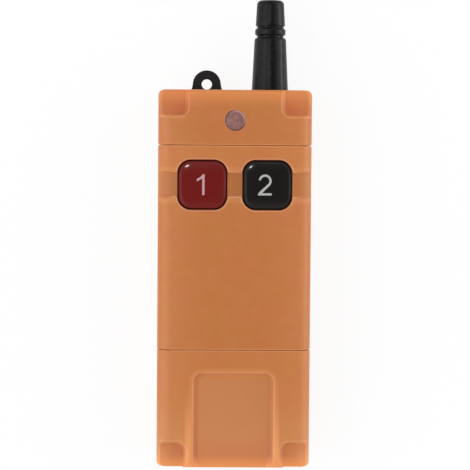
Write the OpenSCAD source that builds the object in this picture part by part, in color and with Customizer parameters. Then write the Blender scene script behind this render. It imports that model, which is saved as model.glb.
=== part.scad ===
// Hand-held industrial radio remote control with two push buttons, a stub antenna and a battery
// cap that slides off. It lies on its back: X is the width, Y runs towards the antenna and Z rises
// from the back face to the buttons. The origin is the middle of the back face. Millimetres.

/* [Case] */
// Flat strip between a button and the rounded edge of the case
button_side = 2.1; // [1.8:0.1:4]
// Length of the two shells from seam to seam
shell_l = 72.3; // [68:0.1:84]
// Gap between the battery and the front of the case's inside
battery_clear = 0.8; // [0.5:0.1:2]
// Radius of the long front edges
front_edge_r = 5; // [4:0.1:6]
// Radius of the long back edges
back_edge_r = 4; // [3.8:0.1:5]
// Radius round the edges of both ends
end_edge_r = 2; // [1.2:0.1:2.4]
// Radius of the edges that meet at a seam
seam_edge_r = 0.55; // [0.2:0.05:0.7]
// Wall of the two shells
wall = 2; // [1.8:0.05:2.1]
// Distance from the front face to the parting line of the shells
part_depth = 14; // [13.4:0.1:14.4]

/* [End caps] */
// Length of the battery cap
battery_cap_l = 42.1; // [41:0.1:44]
// Open line between a cap and the shells
seam_gap = 0.12; // [0.08:0.01:0.2]
// Length of the spigot that a cap slides over
spigot_l = 4.5; // [4.3:0.1:4.8]
// Wall of the spigot
spigot_wall = 1.5; // [1.3:0.05:1.6]
// Play between spigot and cap
fit_gap = 0.15; // [0.1:0.01:0.2]
// Wall of a cap beyond the spigot
cap_wall = 3.2; // [2.8:0.1:3.4]
// End wall of a cap
end_wall = 2.4; // [2.2:0.1:2.8]

/* [Corner pockets] */
// Width of a corner pocket, from the side of the case
pocket_w = 11.2; // [9:0.1:11.6]
// Length of a corner pocket, from the end of the case
pocket_l = 10.1; // [8:0.1:10.6]
// Depth of a corner pocket
pocket_d = 1.5; // [0.8:0.1:1.8]
// Width of the slope round a pocket
pocket_slope = 1.8; // [1:0.1:2.2]
// Inner corner radius of the pockets of the top cap
top_pocket_r = 1.8; // [1:0.1:3]
// Inner corner radius of the pockets of the battery cap
low_pocket_r = 2.8; // [1:0.1:3.2]
// Set-back of the battery cap's end face beside its middle
corner_setback = 0.4; // [0.2:0.05:0.6]

/* [Thumb recess] */
// Width of the thumb recess
thumb_w = 29.9; // [26:0.1:30.6]
// Length of the thumb recess, from the end of the case
thumb_l = 34.7; // [30:0.1:35.2]
// Depth of the thumb recess
thumb_d = 1; // [0.6:0.05:1.2]
// Width of the slopes at its sides
thumb_slope = 2; // [1:0.1:2.4]
// Radius of its two corners
thumb_r = 3.8; // [3.6:0.1:6]
// Length of the run-out at the end of the case
runout_l = 8; // [5:0.1:12]
// Drop of the run-out
runout_d = 0.9; // [0.4:0.05:1.1]

/* [Buttons] */
// Width and height of a button
button_w = 17.3; // [16.8:0.1:18]
// Corner radius of a button
button_corner_r = 4.6; // [3.6:0.1:5.4]
// Rounding of a button's top edge
button_edge_r = 1.5; // [1:0.1:1.8]
// Gap between the buttons' gaskets and the rib between them
rib_clear = 0.44; // [0.1:0.02:1.5]
// Distance from the top seam to the buttons
button_head = 5.25; // [5:0.05:6]
// Play round a button in its window
button_gap = 0.16; // [0.1:0.02:0.3]
// Height of the buttons above the front face
button_stand = 0.2; // [0:0.05:0.5]
// Press of a button
button_travel = 0.5; // [0.3:0.05:0.6]
// Width of the rounded rim of a window
rim_w = 0.8; // [0.4:0.1:1.2]
// Depth of the rounded rim of a window
rim_d = 0.9; // [0.5:0.1:1.3]
// Height of the finger channel across the front
channel_w = 9.6; // [7:0.1:12]
// Depth of the finger channel
channel_d = 0.6; // [0.3:0.05:0.7]
// Slope at the lower side of the channel
channel_slope = 1.4; // [0.6:0.1:2]
// Slope at the upper side of the channel
channel_step = 0.7; // [0.3:0.05:1.2]

/* [Status light] */
// Diameter of the lens
lens_d = 7.3; // [6:0.1:8]
// Distance from the end of the case to the lens's centre
lens_drop = 10.8; // [9.6:0.1:12]
// Distance from the end of the spigot to the lens
lens_clear = 0.65; // [0.6:0.05:2]
// Diameter of the light-emitting diode
led_d = 5; // [4.6:0.1:5.2]

/* [Antenna] */
// Distance from the middle of the case to the antenna
antenna_x = 12.5; // [11.5:0.1:13.5]
// Length of the antenna above the case
antenna_l = 32.2; // [31:0.1:40]
// Diameter of the antenna at its foot
antenna_foot_d = 13; // [12.6:0.1:14]
// Diameter of the antenna below its grooves
antenna_neck_d = 11.3; // [10.8:0.1:12]
// Diameter of the ring between the grooves
antenna_ring_d = 10.9; // [10.4:0.1:11.4]
// Diameter in the grooves
antenna_groove_d = 9.5; // [9.2:0.1:10]
// Diameter of the tip at its lower edge
antenna_tip_d = 10.5; // [10:0.1:11]
// Diameter of the tip at its top
antenna_top_d = 9.7; // [8.6:0.1:10.2]
// Rounding of the tip
antenna_tip_r = 1.6; // [0.8:0.1:2.4]
// Length of the tip above the upper groove
antenna_tip_l = 9.1; // [7:0.1:10]
// Width of each groove
antenna_groove_w = 1.2; // [0.8:0.1:1.6]
// Width of the ring between the grooves
antenna_ring_w = 2.1; // [1.6:0.1:2.6]

/* [Lanyard eye] */
// Distance from the middle of the case to the eye
eye_x = -10.1; // [-11:0.1:-9]
// Outer diameter of the eye
eye_d = 10; // [9:0.1:10.6]
// Diameter of its hole
eye_hole_d = 3.7; // [3:0.1:4.2]
// Height of the hole's centre above the case
eye_rise = 2.1; // [2:0.05:3]
// Width of the eye where it leaves the case
eye_foot_w = 11; // [10.6:0.1:12]
// Thickness of the eye
eye_t = 3; // [2:0.1:4]

/* [Battery] */
// Width of the block battery
battery_w = 26.5; // [25.5:0.1:26.8]
// Thickness of the block battery
battery_t = 17.5; // [16.5:0.1:17.8]
// Length of the block battery's case
battery_l = 46.2; // [44:0.1:46.4]
// Height of its two snap terminals
terminal_h = 2.6; // [2:0.1:2.8]
// Distance between its terminals
terminal_pitch = 12.7; // [12:0.1:13]

/* [Circuit board] */
// Gap between the board and the pillars of the shell screws
board_gap = 0.9; // [0.2:0.1:1.5]
// Thickness of the board
board_t = 1.6; // [1:0.1:1.8]
// Distance from the front face to the board's underside
board_depth = 14.7; // [14.4:0.1:15.1]
// Width of a push switch
switch_w = 12; // [11:0.1:12.2]
// Height of a push switch without its plunger
switch_h = 4; // [3.6:0.1:4.4]
// Height of a plunger's tip above the board
plunger_h = 7.3; // [6.5:0.1:7.8]

/* [Fasteners] */
// Thread diameter of the shell screws
screw_d = 2.5; // [2.2:0.1:2.6]
// Head diameter of the shell screws
head_d = 4.4; // [4:0.1:4.5]
// Thread diameter of the small screws
small_screw_d = 1.9; // [1.6:0.1:2]
// Head diameter of the small screws
small_head_d = 3.6; // [3:0.1:3.8]

/* [Hidden] */

// Colours
case_orange = "#C87A45";
seal_grey = "#55585C";
moulded_black = "#1B1B1D";
button_red = "#6E1416";
button_black = "#141615";
steel = "#B9BDC1";
brass = "#C9A24A";
copper = "#B9693C";
board_green = "#1F6B3F";
lens_mauve = "#A5717A";

// Fineness of the curved faces
$fn = 48;
edge_steps = 8; // facets in a quarter turn of a long outer edge
inner_steps = 4; // facets in a quarter turn inside the case
end_steps = 6; // facets in a quarter turn round an end
seam_steps = 3; // facets in a quarter turn at a seam
corner_steps = 8; // facets in a quarter turn of a button's corner
least_r = 0.3; // smallest corner radius that an inset leaves
slope_shares = [0.12, 0.3, 0.5, 0.7, 0.88, 1]; // rings of a moulded slope, as shares of its width
channel_shares = [0.2, 0.5, 0.8, 1]; // the same for the slopes of the finger channel
rim_angles = [18, 36, 54, 72]; // rings of a window's rim, as angles of its rounding from its wall up

// Shared clearances and overlaps
over = 1; // overrun of a cut past the face that it opens
bury = 0.5; // depth that a rib or boss runs into what carries it
slip = 0.1; // play between two small parts that are put together

// Case sizes, worked out from what the case holds
spigot_out = wall + fit_gap; // inset of a spigot's outer face
spigot_in = spigot_out + spigot_wall; // inset of a spigot's inner face
cradle_floor = 1.2; // thickness of the battery cradle under the battery
cradle_h0 = spigot_in + slip;
battery_h0 = cradle_h0 + cradle_floor + slip;
gasket_over = 1.4; // width of a gasket past its window
rib_t = 1.6;
button_space = rib_t + 2 * (rib_clear + gasket_over + button_gap);
button_pitch = button_w + button_space;
case_w = button_pitch + button_w + 2 * (front_edge_r + button_side);
top_cap_l = spigot_l + lens_clear + lens_d / 2 + lens_drop;
case_l = top_cap_l + shell_l + battery_cap_l;
case_t = battery_h0 + battery_t + battery_clear + spigot_in;
part_h = case_t - part_depth;
board_h = case_t - board_depth;
button_drop = button_head + button_w / 2;

// Case places
half_w = case_w / 2;
top_y = case_l / 2;
low_y = -case_l / 2;
top_seam_y = top_y - top_cap_l;
low_seam_y = low_y + battery_cap_l;
spigot_top_y = top_seam_y + spigot_l;
spigot_low_y = low_seam_y - spigot_l;
spigot_lead = 0.4; // chamfer at a spigot's mouth
ledge = 3; // length of the thick wall that carries a spigot
socket_clear = 0.3; // room past a spigot's end inside a cap
axis_up = 1.2; // from the board's underside
axis_h = board_h + axis_up; // height of the antenna's and the lanyard eye's centre

parting_groove = 0.35; // side of the square bar, on edge, that cuts the groove at the parting line

// Seals
ring_seal_w = 1.6;
ring_seal_t = 0.8;
ring_seal_slip = 0.06;
ring_seal_edge = 1.2; // from a spigot's end to its seal groove
lip_t = 0.8; // tongue along the rear shell's rim
lip_h = 1.2;
side_seal_t = 0.9;

// Shell pillars and screws
pillar_side = 5.4; // from the side of the case to a pillar's axis
pillar_top_in = 3.2; // from the top seam to a pillar's axis
pillar_low_in = 5.9; // from the lower seam to a pillar's axis
pillar_x = half_w - pillar_side;
pillar_top_y = top_seam_y - pillar_top_in;
pillar_low_y = low_seam_y + pillar_low_in;
front_pillar_r = 2.5;
rear_pillar_r = 3.1;
insert_r = 1.75;
insert_l = 5;
insert_sink = 0.2; // depth of an insert below the parting line
screw_sink = 1.2; // depth of a screw head's top below the back face
head_h = 2;
insert_spare = 0.7; // length of an insert that its screw doesn't reach
screw_l = part_h + insert_sink + insert_l - insert_spare - screw_sink; // head included
web_t = 1.2;
cross_w = 0.7; // cross recess of a screw
cross_share = 0.7; // its span as a share of the head
cross_d = 1;
rear_rib_h = 3.5;

// Cap screws, countersunk in the back of the top cap, and the tongues of the rear shell that take them
cap_screw_side = 10.2; // from the side of the case
cap_screw_out = 3; // from the spigot's end
cap_screw_x = half_w - cap_screw_side;
cap_screw_y = spigot_top_y + cap_screw_out;
cap_head_h = 1.1;
tongue_r = 2.5;
tongue_h0 = cap_wall + slip;
tongue_room = 4; // between a tongue and the board
tongue_floor = 1; // solid below the thread in a tongue
tongue_h = board_h - tongue_h0 - tongue_room;
cap_screw_in = tongue_h - tongue_floor; // thread in a tongue
cap_screw_l = cap_wall + cap_screw_in;

// Buttons and their windows
button_y = top_seam_y - button_drop;
window_w = button_w + 2 * button_gap;
window_r = button_corner_r + button_gap;
gasket_t = 0.5;
flange_over = 0.85; // width of a button's flange past the button
flange_t = 1.2;
flange_top = case_t - wall - gasket_t - slip;
crown_h = 2.2; // thickness of a button's crown
crown_rise = 0.25; // doming of its face
skirt_t = 2; // wall of a button under its crown
post_r = 2.2;

// Circuit board
board_w = 2 * (pillar_x - rear_pillar_r - board_gap);
board_top = board_h + board_t;
board_end_gap = 0.8;
board_head_gap = 4.1; // from the board to the top cap's end wall
board_screw_side = 3.5; // from the board's edge
board_screw_end = 3; // from the board's lower end
board_screw_out = 1.2; // from the top seam
board_screw_x = board_w / 2 - board_screw_side;
board_screw_top_y = top_seam_y + board_screw_out;
board_boss_r = 2.2;
board_screw_in = 5; // thread in a boss
board_head_h = 1.3;
button_rib_l = 13; // rib that backs the board between the switches
hole_slip = 0.2; // play of a leg or screw in the board
notch_w = 5; // notch for the antenna's lead
notch_l = 4;

// Push switches
switch_cover_t = 0.3;
switch_well_d = 7.2;
switch_floor = 0.8;
switch_chamfer = 1.4;
plunger_flange_d = 6.9;
plunger_stem_d = 4;
cover_hole_d = 4.6;
dome_d = 6.4;
dome_h = 0.85;
dome_t = 0.12;
leg_w = 1;
leg_t = 0.4;
leg_x = 2.5;
leg_below = 1.4;
leg_above = 0.9;

// Status light
lens_y = top_y - lens_drop;
lens_flange_over = 0.8;
lens_flange_t = 1;
lens_sink = 0.1; // how far the lens's edge lies below the face
lens_round = 0.3; // rounding of that edge
lens_crown = 0.25; // rise of its face from the edge to the middle
lens_bevel = 0.25; // bevel round its hole in the cap
crown_shares = [0.25, 0.5, 0.75, 1]; // rings of its face, from the edge in to the middle
led_flange_over = 0.4;
led_flange_t = 1;
led_leg_d = 0.6;
led_leg_pitch = 2.54;

// Antenna
ferrule_d = 8;
ferrule_flange_d = 10;
ferrule_flange_t = 1.2;
ferrule_barrel_d = 6;
ferrule_barrel_l = 3.8;
ferrule_bore_d = 1.6;
ferrule_tail = 0.6; // thread left below the nut
nut_w = 11;
nut_t = 2.4;
chamber_d = 7.2;
core_d = 4.8;
coil_wire_d = 0.8;
coil_turns = 12;
coil_sides = 6;
coil_points = 12; // rings in one turn
tip_solid = 5.4; // solid length at the antenna's tip
coil_end = 1; // bare length at each end of the core
shoulder = 0.5; // rounding beside a groove
tip_steps = 5;
ferrule_low_y = top_y - end_wall - nut_t - ferrule_tail;
barrel_top_y = top_y + ferrule_flange_t + ferrule_barrel_l;
chamber_top_y = top_y + antenna_l - tip_solid;
lead_d = 1.2;
lead_sides = 8;
lead_in = 2; // length of the lead inside the ferrule
lead_pad_in = 5.3; // from the board's end to the lead's pad
lead_hump = 1.9; // height of the lead's arch above the board

// Lanyard eye
eye_bar_w = 15;

// Battery, its cradle and its contacts
cradle_wall = 1.5;
cradle_side_h = 10.2;
battery_stop = 1.6; // length of the stop ribs in the battery cap
battery_end_gap = 0.3;
battery_low_y = low_y + end_wall + battery_stop + battery_end_gap;
battery_top_y = battery_low_y + battery_l;
battery_corner_r = 1.6;
battery_mid_h = battery_h0 + battery_t / 2;
plate_t = 1.6;
plate_low_y = battery_top_y + terminal_h + slip / 2;
plate_top_y = plate_low_y + plate_t;
stud_r = 2.85;
crown_wall = 1.05;
cradle_low_y = battery_low_y + battery_end_gap;
cradle_lip = 1; // length of the cradle past the snap plate
cradle_top_y = plate_top_y + cradle_lip;
board_low_y = cradle_top_y + board_end_gap;
board_high_y = top_y - end_wall - board_head_gap;
board_screw_low_y = board_low_y + board_screw_end;
lead_pad_y = board_high_y - lead_pad_in;
lug_l = 4;
lug_t = 2;
lug_h = 7;
lug_boss_r = 1.8;
lug_w = 2 * (lug_boss_r + slip);
lug_screw_l = 6;
lug_head_h = 1.2;
lug_y = cradle_top_y - lug_l / 2;
lug_x = battery_w / 2 + slip + cradle_wall + lug_w / 2;
battery_lead_d = 1.4;
battery_lead_drop = 3.3; // from the board's underside
battery_lead_h = board_h - battery_lead_drop;
battery_lead_run = 5.8;
battery_lead_run_shares = [0, 0.2, 0.45, 0.7, 0.9, 0.98, 1, 1];
battery_lead_rise_shares = [0, 0, 0.04, 0.16, 0.38, 0.56, 0.75, 1];
stop_rib_x = 8;

// Small parts on the board, in the bay between the battery and the switches
bay_l = button_y - switch_w / 2 - board_low_y;
radio_share = 0.37; // lengths as shares of the bay
shield_share = 0.29;
chip_share = 0.26;
crystal_share = 0.29;
capacitor_share = 0.166;
radio_place_share = 0.5; // places as shares of the bay
capacitor_place_share = 0.2;
resistor_place_share = 0.88;
chip_strip = 9.5; // from the board's edge to the radio module
radio_w = board_w - 2 * chip_strip;
radio_l = radio_share * bay_l;
radio_t = 0.8;
radio_y = board_low_y + radio_place_share * bay_l;
shield_side = 2.5; // from the radio module's edge to its screening can
shield_w = radio_w - 2 * shield_side;
shield_l = shield_share * bay_l;
shield_h = 1.8;
shield_wall = 0.3;
chip_w = 4;
chip_l = chip_share * bay_l;
chip_t = 1.6;
chip_edge = 4.5; // from the board's edge to the middle of the chip or the crystal
chip_x = -board_w / 2 + chip_edge;
chip_pins = 8;
chip_pin_w_share = 0.3; // of the pitch of the pins
chip_pin_out = 1;
chip_pin_h = 0.7;
chip_pin_t = 0.2;
crystal_x = board_w / 2 - chip_edge;
crystal_w = 4.6;
crystal_l = crystal_share * bay_l;
crystal_h = 3.5;
crystal_base_h = 0.4;
crystal_base_over = 0.3;
capacitor_edge = 9; // from the board's edge
capacitor_x = board_w / 2 - capacitor_edge;
capacitor_y = board_low_y + capacitor_place_share * bay_l;
capacitor_d = capacitor_share * bay_l;
capacitor_h = 5.4;
capacitor_base_over = 0.15;
capacitor_base_h = 0.8;
resistor_count = 5;
resistor_pitch = 3.4;
resistor_l = 2;
resistor_w = 1.25;
resistor_t = 0.5;
resistor_y = board_low_y + resistor_place_share * bay_l;

// A quarter arc about (x, z) that starts at an angle, as 2D points
function arc(x, z, r, from, steps) =
    [for (i = [0:steps]) let (a = from + 90 * i / steps) [x + r * cos(a), z + r * sin(a)]];

// Outline of a rectangle with round corners about the origin, anticlockwise
function rounded(half_x, half_y, r, steps) = concat(
    arc(half_x - r, -half_y + r, r, -90, steps),
    arc(half_x - r, half_y - r, r, 0, steps),
    arc(-half_x + r, half_y - r, r, 90, steps),
    arc(-half_x + r, -half_y + r, r, 180, steps)
);

// Cross-section of the case at y, drawn in by inset all round and by drop more at the front
function case_ring(y, inset, drop, steps) =
    let (
        w = half_w - inset,
        rb = max(back_edge_r - inset, least_r),
        rf = max(front_edge_r - inset, least_r),
        z1 = case_t - inset - drop,
        outline = concat(
            arc(w - rb, inset + rb, rb, -90, steps),
            arc(w - rf, z1 - rf, rf, 0, steps),
            arc(-w + rf, z1 - rf, rf, 90, steps),
            arc(-w + rb, inset + rb, rb, 180, steps)
        )
    ) [for (p = outline) [p[0], y, p[1]]];

// Depth of a moulded slope at a share of its width, as a share: round at its head and at its foot
function ease(t) = t * t * (3 - 2 * t);
// Share of the width at which a slope's first facet, drawn out upwards, is one overrun above the face
function slope_lead(depth) = -over * slope_shares[0] / (depth * ease(slope_shares[0]));

// Stations [y, inset, drop] of a rounded end, from its face inwards or outwards
function low_end(y, r, steps) =
    [for (i = [0:steps]) let (a = 90 * i / steps) [y + r * (1 - cos(a)), r * (1 - sin(a)), 0]];
function high_end(y, r, steps) =
    [for (i = [steps:-1:0]) let (a = 90 * i / steps) [y - r * (1 - cos(a)), r * (1 - sin(a)), 0]];

// One solid through rings of points. Each ring runs anticlockwise for an eye that looks along them
module skin(rings) {
    n = len(rings[0]);
    m = len(rings);
    polyhedron(
        points = [for (ring = rings) each ring],
        faces = concat(
            [[for (j = [n - 1:-1:0]) j]],
            [for (i = [0:m - 2], j = [0:n - 1], half = [0, 1])
                let (a = i * n + j, b = i * n + (j + 1) % n)
                half == 0 ? [a, b, b + n] : [a, b + n, a + n]],
            [[for (j = [0:n - 1]) (m - 1) * n + j]]
        )
    );
}

// Part of the case form through stations [y, inset, drop]
module case_form(stations, steps) {
    skin([for (s = stations) case_ring(s[0], s[1], s[2], steps)]);
}

// A straight stretch of the case form
module case_core(y0, y1, inset) {
    case_form([[y0, inset, 0], [y1, inset, 0]], inner_steps);
}

// A round wire or tube along a path, with up never along it
function unit(v) = v / norm(v);
function tube_ring(p, t, up, r, sides) =
    let (n = unit(cross(t, up)), b = cross(n, t))
    [for (k = [0:sides - 1]) let (a = 360 * k / sides) p + r * (cos(a) * n + sin(a) * b)];
module tube(path, up, r, sides) {
    last = len(path) - 1;
    skin([for (i = [0:last])
        let (t = unit(path[min(i + 1, last)] - path[max(i - 1, 0)]))
        tube_ring(path[i], t, up, r, sides)]);
}

// Plate with round corners, centred, from z = 0 upwards, with true arcs
module round_plate(w, l, r, h) {
    linear_extrude(height = h) {
        square([w - 2 * r, l], center = true);
        square([w, l - 2 * r], center = true);
        for (x = [-1, 1], y = [-1, 1])
            translate([x * (w / 2 - r), y * (l / 2 - r)]) circle(r = r);
    }
}

// Block centred in x, from y0 to y1 and z0 to z1
module bar(w, y0, y1, z0, z1) {
    translate([-w / 2, y0, z0]) cube([w, y1 - y0, z1 - z0]);
}

module at_pillars() {
    for (x = [-1, 1], y = [pillar_low_y, pillar_top_y]) translate([x * pillar_x, y, 0]) children();
}

module at_board_screws() {
    for (x = [-1, 1], y = [board_screw_low_y, board_screw_top_y])
        translate([x * board_screw_x, y, 0]) children();
}

module at_cap_screws() {
    for (x = [-1, 1]) translate([x * cap_screw_x, cap_screw_y, 0]) children();
}

module at_lugs() {
    for (x = [-1, 1]) translate([x * lug_x, lug_y, 0]) children();
}

// Cross recess of a screw, cut downwards from z = 0
module cross_recess(d) {
    for (turn = [0, 90]) rotate(turn)
        bar(d * cross_share, -cross_w / 2, cross_w / 2, -cross_d, over);
}

// Button outline grown or shrunk by a margin, as a solid from z0 to z1 with true arcs
module button_block(margin, z0, z1) {
    w = button_w + 2 * margin;
    translate([0, 0, z0]) round_plate(w, w, button_corner_r + margin, z1 - z0);
}

// The form of the two shells: body and spigots, hollowed
channel_low_y = button_y - channel_w / 2;
channel_high_y = button_y + channel_w / 2;
body_stations = concat(
    low_end(low_seam_y, seam_edge_r, seam_steps),
    [[channel_low_y, 0, 0]],
    [for (t = channel_shares) [channel_low_y + t * channel_slope, 0, ease(t) * channel_d]],
    [for (i = [len(channel_shares) - 1:-1:0])
        let (t = channel_shares[i]) [channel_high_y - t * channel_step, 0, ease(t) * channel_d]],
    [[channel_high_y, 0, 0]],
    high_end(top_seam_y, seam_edge_r, seam_steps)
);

function groove_stations(y0) = [
    [y0, spigot_out, 0], [y0, spigot_out + ring_seal_t, 0],
    [y0 + ring_seal_w, spigot_out + ring_seal_t, 0], [y0 + ring_seal_w, spigot_out, 0]
];
low_groove_y = spigot_low_y + ring_seal_edge;
high_groove_y = spigot_top_y - ring_seal_edge - ring_seal_w;
spigot_stations = concat(
    [[spigot_low_y, spigot_out + spigot_lead, 0], [spigot_low_y + spigot_lead, spigot_out, 0]],
    groove_stations(low_groove_y),
    groove_stations(high_groove_y),
    [[spigot_top_y - spigot_lead, spigot_out, 0], [spigot_top_y, spigot_out + spigot_lead, 0]]
);

module shell_form() {
    difference() {
        union() {
            case_form(body_stations, edge_steps);
            case_form(spigot_stations, inner_steps);
        }
        case_core(low_seam_y + ledge, top_seam_y - ledge, wall);
        case_core(spigot_low_y - over, spigot_top_y + over, spigot_in);
    }
}

// Upper window of a button with its rounded rim. The rim's rings run on past the window's wall
// below, and past the front face above
module button_window() {
    button_block(button_gap, case_t - wall - over, case_t + over);
    last = rim_angles[len(rim_angles) - 1];
    rise = 1 - sin(last);
    rings = concat(
        [[-rim_w / 2, -rim_d - over]],
        [for (a = rim_angles) [rim_w * (1 - cos(a)), rim_d * (sin(a) - 1)]],
        [[rim_w + rim_w * cos(last) * over / (rise * rim_d), over]]
    );
    skin([for (i = [len(rings) - 1:-1:0])
        let (more = rings[i][0], half = window_w / 2 + more)
        [for (p = rounded(half, half, window_r + more, corner_steps)) [p[0], p[1], case_t + rings[i][1]]]]);
}

// Groove along the parting line of the two shells, on both sides
module parting_grooves() {
    for (x = [-1, 1]) translate([x * half_w, 0, part_h]) rotate([0, 45, 0])
        bar(parting_groove, low_seam_y - over, top_seam_y + over, -parting_groove / 2, parting_groove / 2);
}

// Strip along both side walls at the parting line, t thick from the inner face outwards
module side_strips(t, z0, z1) {
    for (x = [-1, 1])
        translate([x * (half_w - wall + t / 2), 0, 0])
            bar(t, low_seam_y + ledge, top_seam_y - ledge, z0, z1);
}

// Web that ties each pillar to the side wall
module pillar_webs(z0, z1) {
    web_l = half_w - wall + bury - pillar_x;
    for (x = [-1, 1], y = [pillar_low_y, pillar_top_y])
        translate([x * (pillar_x + web_l / 2), y, 0]) bar(web_l, -web_t / 2, web_t / 2, z0, z1);
}

module front_shell() {
    inner = case_t - wall;
    spigot_inner = case_t - spigot_in;
    color(case_orange) difference() {
        union() {
            intersection() {
                shell_form();
                bar(2 * case_w, -case_l, case_l, part_h, 2 * case_t);
            }
            at_pillars() translate([0, 0, part_h])
                cylinder(r = front_pillar_r, h = spigot_inner + bury - part_h);
            for (x = [-1, 1]) translate([x * pillar_x, pillar_low_y, spigot_inner])
                cylinder(r = front_pillar_r, h = spigot_in - wall + bury);
            pillar_webs(part_h, spigot_inner);
            for (x = [-1, 1]) {
                translate([x * board_screw_x, board_screw_low_y, board_top])
                    cylinder(r = board_boss_r, h = inner + bury - board_top);
                translate([x * board_screw_x, board_screw_top_y, board_top])
                    cylinder(r = board_boss_r, h = spigot_inner + bury - board_top);
            }
            translate([0, button_y, 0])
                bar(rib_t, -button_rib_l / 2, button_rib_l / 2, board_top + slip, inner + bury);
        }
        side_strips(lip_t + slip, part_h - over, part_h + lip_h + side_seal_t + slip);
        parting_grooves();
        for (x = [-1, 1]) translate([x * button_pitch / 2, button_y, 0]) button_window();
        at_pillars() translate([0, 0, part_h - over]) {
            cylinder(r = insert_r + slip / 2, h = over + insert_sink + insert_l);
            cylinder(r = screw_d / 2 + slip, h = over + insert_sink + insert_l + screw_sink);
        }
        at_board_screws() translate([0, 0, board_top - over])
            cylinder(r = small_screw_d / 2 + slip / 2, h = over + board_screw_in + slip);
        translate([0, lens_y, part_h])
            cylinder(d = lens_d + 2 * (lens_flange_over + hole_slip), h = case_t);
    }
}

module rear_shell() {
    color(case_orange) difference() {
        union() {
            intersection() {
                shell_form();
                bar(2 * case_w, -case_l, case_l, -case_t, part_h);
            }
            at_pillars() translate([0, 0, wall - bury]) cylinder(r = rear_pillar_r, h = part_h - wall + bury);
            pillar_webs(wall - bury, part_h);
            side_strips(lip_t, part_h - bury, part_h + lip_h);
            at_cap_screws() translate([0, 0, tongue_h0]) {
                cylinder(r = tongue_r, h = tongue_h);
                bar(2 * tongue_r, top_seam_y - cap_screw_y, 0, 0, tongue_h);
            }
            at_lugs() translate([0, 0, wall - bury]) cylinder(r = lug_boss_r, h = lug_h - wall + bury);
            for (y = [board_low_y + ledge, button_y - button_drop])
                translate([0, y, wall]) bar(2 * (half_w - wall + bury), 0, rib_t, -bury, rear_rib_h);
        }
        at_pillars() {
            translate([0, 0, -over]) cylinder(d = head_d + 2 * slip, h = over + screw_sink + head_h);
            cylinder(r = screw_d / 2 + slip, h = part_h + over);
        }
        parting_grooves();
        at_cap_screws() cylinder(r = small_screw_d / 2 + slip / 2, h = cap_screw_l + slip);
        at_lugs() translate([0, 0, lug_h + lug_t + lug_head_h - lug_screw_l - slip])
            cylinder(r = small_screw_d / 2 + slip / 2, h = lug_screw_l);
    }
}

// Rubber cords pressed between the rear shell's tongue and the front shell
module side_seals() {
    color(seal_grey) side_strips(lip_t, part_h + lip_h, part_h + lip_h + side_seal_t);
}

// Rubber band in the groove of a spigot
module spigot_seal(groove_y) {
    y0 = groove_y + slip / 2;
    y1 = groove_y + ring_seal_w - slip / 2;
    outer = wall + ring_seal_slip;
    inner = spigot_out + ring_seal_t;
    color(seal_grey) difference() {
        case_form([[y0, outer, 0], [y1, outer, 0]], inner_steps);
        case_core(y0 - over, y1 + over, inner);
    }
}

// Corner pocket with a sloped edge, cut from the front. It stays open towards the side and the end
module corner_pocket(side, end, r) {
    x1 = half_w + over;
    y1 = top_y + over;
    rings = [for (t = concat([slope_lead(pocket_d)], slope_shares))
        let (
            step = t * pocket_slope,
            x0 = half_w - pocket_w + step,
            y0 = top_y - pocket_l + step,
            bend = r + pocket_slope - step,
            z = t < 0 ? case_t + over : case_t - ease(t) * pocket_d
        )
        [for (p = concat([[x1, y0], [x1, y1], [x0, y1]], arc(x0 + bend, y0 + bend, bend, 180, inner_steps)))
            [p[0], p[1], z]]];
    mirror([side < 0 ? 1 : 0, 0, 0]) mirror([0, end < 0 ? 1 : 0, 0]) skin(rings);
}

module top_cap() {
    y0 = top_seam_y + seam_gap;
    color(case_orange) difference() {
        case_form(
            concat(low_end(y0, seam_edge_r, seam_steps), high_end(top_y, end_edge_r, end_steps)),
            edge_steps
        );
        case_core(y0 - over, spigot_top_y + socket_clear, wall);
        case_core(y0 - over, top_y - end_wall, cap_wall);
        for (x = [-1, 1]) corner_pocket(x, 1, top_pocket_r);
        translate([0, lens_y, case_t]) {
            translate([0, 0, -cap_wall - over]) cylinder(d = lens_d + slip, h = cap_wall + 2 * over);
            translate([0, 0, -lens_bevel])
                cylinder(d1 = lens_d + slip, d2 = lens_d + slip + 2 * (lens_bevel + over), h = lens_bevel + over);
        }
        on_antenna_axis() translate([0, 0, -end_wall - over])
            cylinder(d = ferrule_d + 2 * slip, h = end_wall + 2 * over);
        translate([eye_x, top_y, axis_h])
            bar(eye_foot_w + 2 * slip, -end_wall - over, over, -eye_t / 2 - slip, eye_t / 2 + slip);
        at_cap_screws() {
            translate([0, 0, -over]) cylinder(r = small_screw_d / 2 + slip, h = cap_wall + 2 * over);
            translate([0, 0, -slip])
                cylinder(d1 = small_head_d + 4 * slip, d2 = small_screw_d + 2 * slip, h = cap_head_h + slip);
        }
    }
}

// Depth of the thumb recess at a distance from its head, which grows as it runs out at the end
function thumb_depth(d) =
    let (past = max(d - (thumb_l - runout_l), 0) / runout_l) thumb_d + runout_d * past * past;
// Half-width at a distance from its head of the line that lies an inset within its edge. Where the
// head's own slope is nearer, the line follows no edge and lies on that slope
function thumb_half(inset, d) =
    let (short = max(thumb_r - d, 0), r = thumb_r - inset, half = thumb_w / 2 - thumb_r)
    short == 0 ? half + r
    : inset < d ? half + sqrt(r * r - short * short)
    : half * (1 - thumb_fan_share * (inset - d) / thumb_slope);
thumb_fan_share = 0.3;
thumb_bend_shares = [0.4, 1];
thumb_runout_shares = [0, 0.2, 0.4, 0.6, 0.8, 1];

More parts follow.
